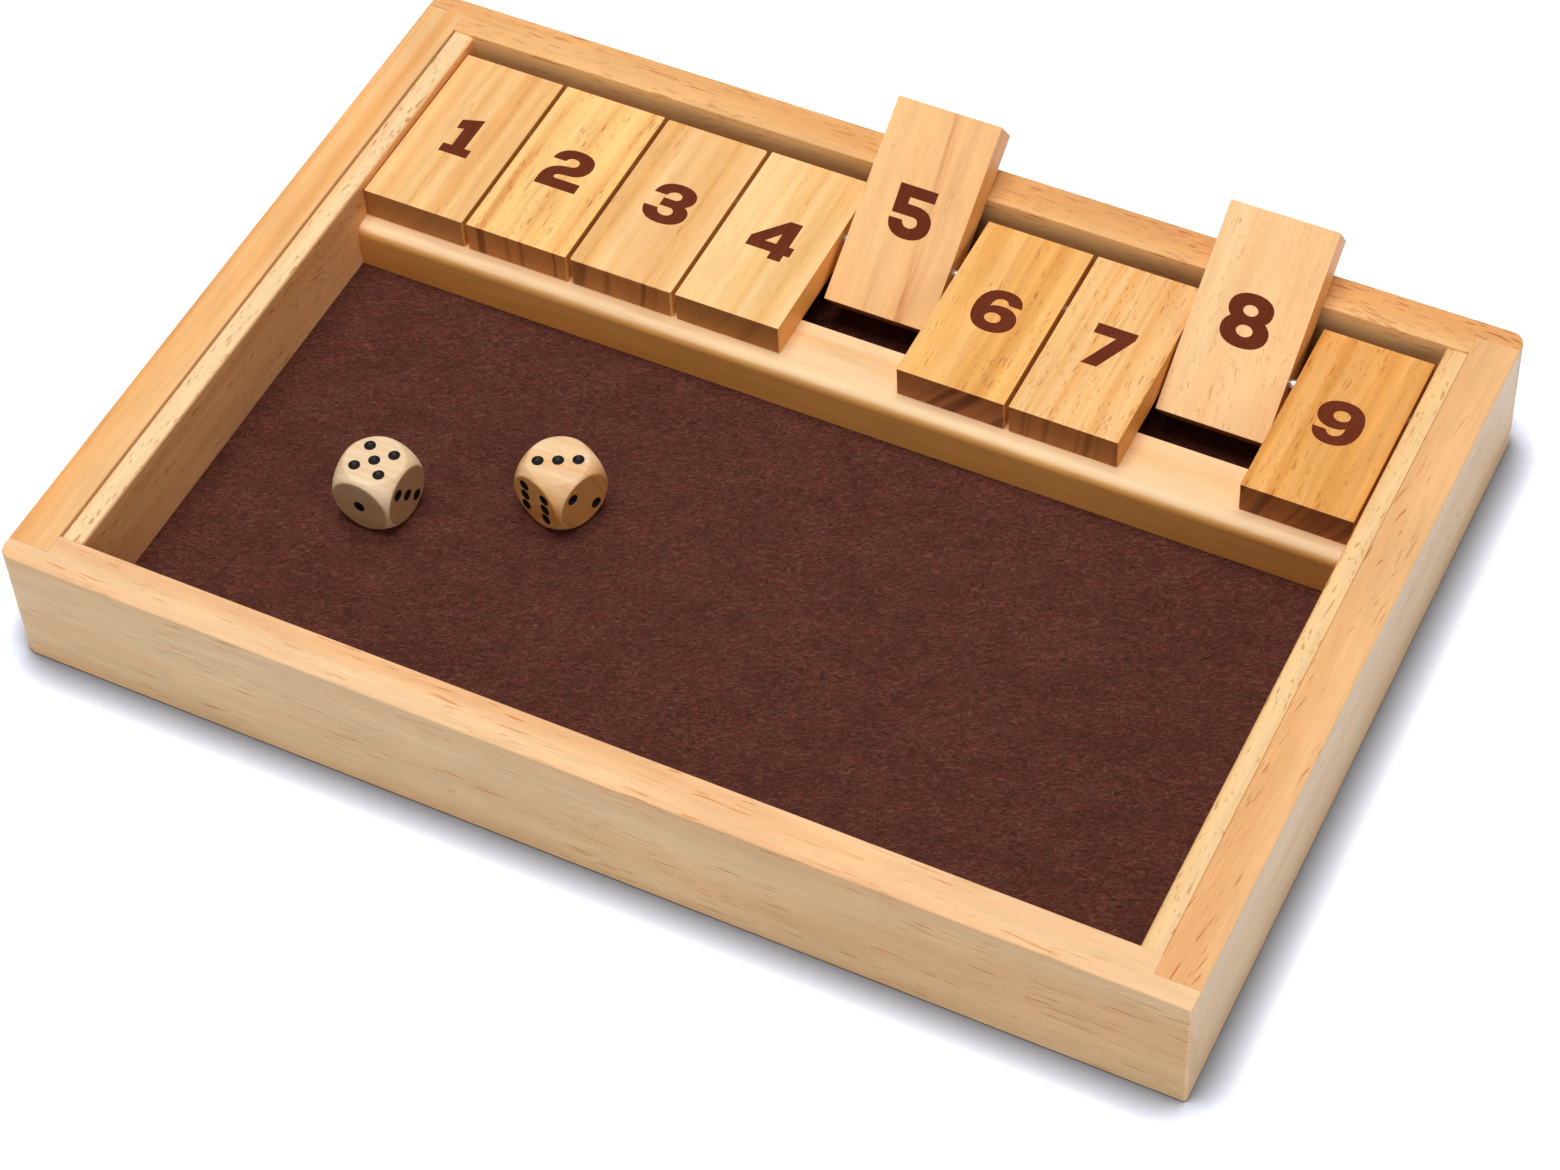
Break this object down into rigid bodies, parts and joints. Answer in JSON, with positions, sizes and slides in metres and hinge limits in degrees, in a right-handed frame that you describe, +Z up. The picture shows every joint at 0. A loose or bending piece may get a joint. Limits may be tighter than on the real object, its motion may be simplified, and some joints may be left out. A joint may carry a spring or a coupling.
{
  "type": "flip-tile dice game",
  "caption": "Open wooden tray with numbered tiles that flip on a steel rod along its back, a felt floor for rolling dice, and loose wooden dice.",
  "frame": {"origin": "middle of the frame's footprint, on the surface that the game stands on; the raised tiles overhang the back rail by 2.8 mm, so the bounding box's middle lies 1.4 mm further back", "axes": "+X to the right along the row of tiles, +Y from the tray towards the tiles and the back rail, +Z up"},
  "size_m": [0.286, 0.2028, 0.0505],
  "materials": {
    "frame_wood": "planed rubberwood with short brown pores, clear matt lacquer",
    "strip_wood": "pale planed wood with fine dark pores",
    "divider_wood": "pale planed wood, smooth sanded",
    "tile_wood": "golden planed wood with lengthwise streaks, clear satin lacquer",
    "board_ply": "thin plywood, sanded",
    "felt": "dark brown pressed felt",
    "rod_steel": "bright drawn steel",
    "pale_die_wood": "tumbled pale wood, matt",
    "golden_die_wood": "tumbled golden wood, matt",
    "number_ink": "dark red-brown printed numbers",
    "pip_paint": "black gloss paint in the pips"
  },
  "bodies": {
    "frame": {"front_rail": "frame_wood", "back_rail": "frame_wood", "left_rail": "frame_wood", "right_rail": "frame_wood", "base_board": "board_ply", "felt_lining": "felt", "left_strip": "strip_wood", "right_strip": "strip_wood", "divider_bar": "divider_wood", "hinge_rod": "rod_steel"},
    "tile_1": {"tile_1": "tile_wood"},
    "tile_2": {"tile_2": "tile_wood"},
    "tile_3": {"tile_3": "tile_wood"},
    "tile_4": {"tile_4": "tile_wood"},
    "tile_5": {"tile_5": "tile_wood"},
    "tile_6": {"tile_6": "tile_wood"},
    "tile_7": {"tile_7": "tile_wood"},
    "tile_8": {"tile_8": "tile_wood"},
    "tile_9": {"tile_9": "tile_wood"},
    "left_die": {"left_die": "pale_die_wood"},
    "right_die": {"right_die": "golden_die_wood"}
  },
  "joints": [
    {"name": "tile_1_flip", "type": "hinge", "parent": "frame", "child": "tile_1", "pos_m": [-0.11346, 0.0705, 0.0269], "axis": [-1, 0, 0], "range_deg": [0, 146.2]},
    {"name": "tile_2_flip", "type": "hinge", "parent": "frame", "child": "tile_2", "pos_m": [-0.08532, 0.0705, 0.0269], "axis": [-1, 0, 0], "range_deg": [0, 146.2]},
    {"name": "tile_3_flip", "type": "hinge", "parent": "frame", "child": "tile_3", "pos_m": [-0.05728, 0.0705, 0.0269], "axis": [-1, 0, 0], "range_deg": [0, 146.2]},
    {"name": "tile_4_flip", "type": "hinge", "parent": "frame", "child": "tile_4", "pos_m": [-0.02914, 0.0705, 0.0269], "axis": [-1, 0, 0], "range_deg": [0, 146.2]},
    {"name": "tile_5_flip", "type": "hinge", "parent": "frame", "child": "tile_5", "pos_m": [-0.0008, 0.0705, 0.0269], "axis": [-1, 0, 0], "range_deg": [-146.2, 0]},
    {"name": "tile_6_flip", "type": "hinge", "parent": "frame", "child": "tile_6", "pos_m": [0.02814, 0.0705, 0.0269], "axis": [-1, 0, 0], "range_deg": [0, 146.2]},
    {"name": "tile_7_flip", "type": "hinge", "parent": "frame", "child": "tile_7", "pos_m": [0.05628, 0.0705, 0.0269], "axis": [-1, 0, 0], "range_deg": [0, 146.2]},
    {"name": "tile_8_flip", "type": "hinge", "parent": "frame", "child": "tile_8", "pos_m": [0.08382, 0.0705, 0.0269], "axis": [-1, 0, 0], "range_deg": [-146.2, 0]},
    {"name": "tile_9_flip", "type": "hinge", "parent": "frame", "child": "tile_9", "pos_m": [0.11266, 0.0705, 0.0269], "axis": [-1, 0, 0], "range_deg": [0, 146.2]},
    {"name": "left_die_lift", "type": "slide", "parent": "frame", "child": "left_die", "axis": [0, 0, 1], "range_m": [0, 0.04]},
    {"name": "right_die_lift", "type": "slide", "parent": "frame", "child": "right_die", "axis": [0, 0, 1], "range_m": [0, 0.04]}
  ]
}
